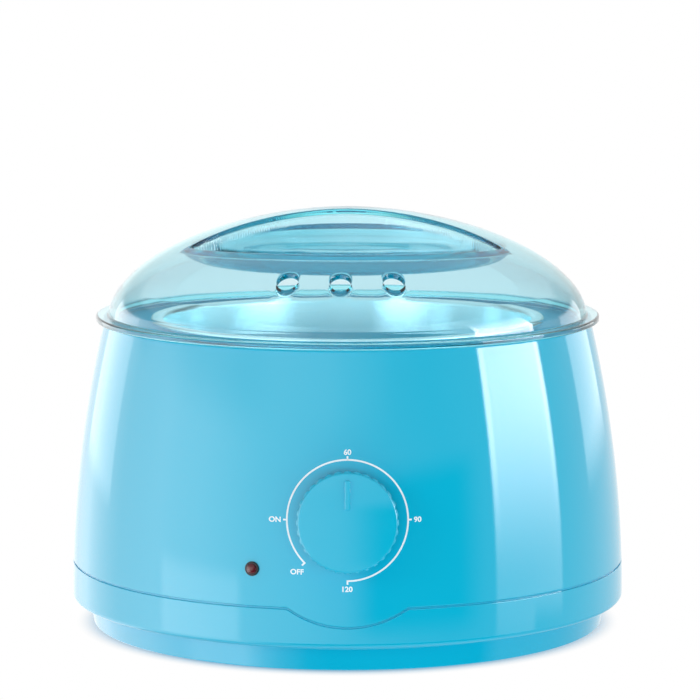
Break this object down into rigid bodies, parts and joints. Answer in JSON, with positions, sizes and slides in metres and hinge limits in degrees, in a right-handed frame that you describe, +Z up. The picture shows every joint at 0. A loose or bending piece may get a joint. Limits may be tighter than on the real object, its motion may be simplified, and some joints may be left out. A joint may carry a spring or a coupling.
{
  "type": "wax warmer",
  "caption": "Round wax warmer with a lift-out pot, a clear lid with a grip ridge, a dial knob and a pilot lamp.",
  "frame": {"origin": "on the axis of the round body, within 1 mm of the surface that the feet stand on, at the middle of the underside", "axes": "+Z up, -Y to the front, where the knob is, +X to the right as seen from the front"},
  "size_m": [0.1854, 0.1992, 0.1396],
  "materials": {
    "blue_body": "glossy blue moulded plastic",
    "clear_blue": "clear pale blue plastic",
    "aluminium": "spun aluminium, satin",
    "steel": "zinc plated steel",
    "spring_steel": "spring steel",
    "brass": "turned brass",
    "mica": "mica band heater",
    "fibre": "glass fibre wrap",
    "silicone": "silicone rubber",
    "ceramic": "ceramic",
    "black_plastic": "black moulded plastic",
    "rubber": "black rubber",
    "red_lens": "clear red lens",
    "glass": "neon lamp glass",
    "lead_red": "red wire sleeve",
    "lead_blue": "blue wire sleeve",
    "lead_white": "white wire sleeve"
  },
  "bodies": {
    "body": {"housing_shell": "blue_body", "base_pan": "blue_body", "heater_cup": "aluminium", "cup_gasket": "silicone", "foot_1": "rubber", "foot_2": "rubber", "foot_3": "rubber", "foot_4": "rubber", "base_screw_1": "steel", "base_screw_2": "steel", "base_screw_3": "steel", "base_screw_4": "steel", "cup_clip_1": "spring_steel", "clip_screw_1": "steel", "cup_clip_2": "spring_steel", "clip_screw_2": "steel", "cup_clip_3": "spring_steel", "clip_screw_3": "steel", "band_heater": "mica", "band_screw": "steel", "band_nut": "steel", "heater_terminal_right": "ceramic", "heater_terminal_left": "ceramic", "insulation_wrap": "fibre", "thermal_fuse": "ceramic", "fuse_clip": "spring_steel", "fuse_screw": "steel", "terminal_block": "black_plastic", "block_screw_left": "steel", "block_screw_right": "steel", "lead_live": "lead_red", "lead_heater": "lead_red", "lead_return": "lead_white", "lead_neutral": "lead_blue", "thermostat_body": "ceramic", "thermostat_bracket": "steel", "thermostat_screw_left": "steel", "bracket_screw_left": "steel", "thermostat_screw_right": "steel", "bracket_screw_right": "steel", "lamp_bezel": "black_plastic", "lamp_lens": "red_lens", "lamp_sleeve": "black_plastic", "neon_lamp": "glass", "cord_gland": "black_plastic"},
    "knob": {"control_knob": "blue_body", "knob_spring_clip": "spring_steel", "thermostat_shaft": "brass"},
    "pot": {"wax_pot": "aluminium"},
    "lid": {"lid": "clear_blue"}
  },
  "joints": [
    {"name": "knob_turn", "type": "hinge", "parent": "body", "child": "knob", "pos_m": [0, -0.09057, 0.0495], "axis": [0, 0.9945, -0.1046], "range_deg": [-135, 180]},
    {"name": "pot_lift", "type": "slide", "parent": "body", "child": "pot", "axis": [0, 0, 1], "range_m": [0, 0.08]},
    {"name": "lid_lift", "type": "slide", "parent": "pot", "child": "lid", "axis": [0, 0, 1], "range_m": [0, 0.1]}
  ]
}
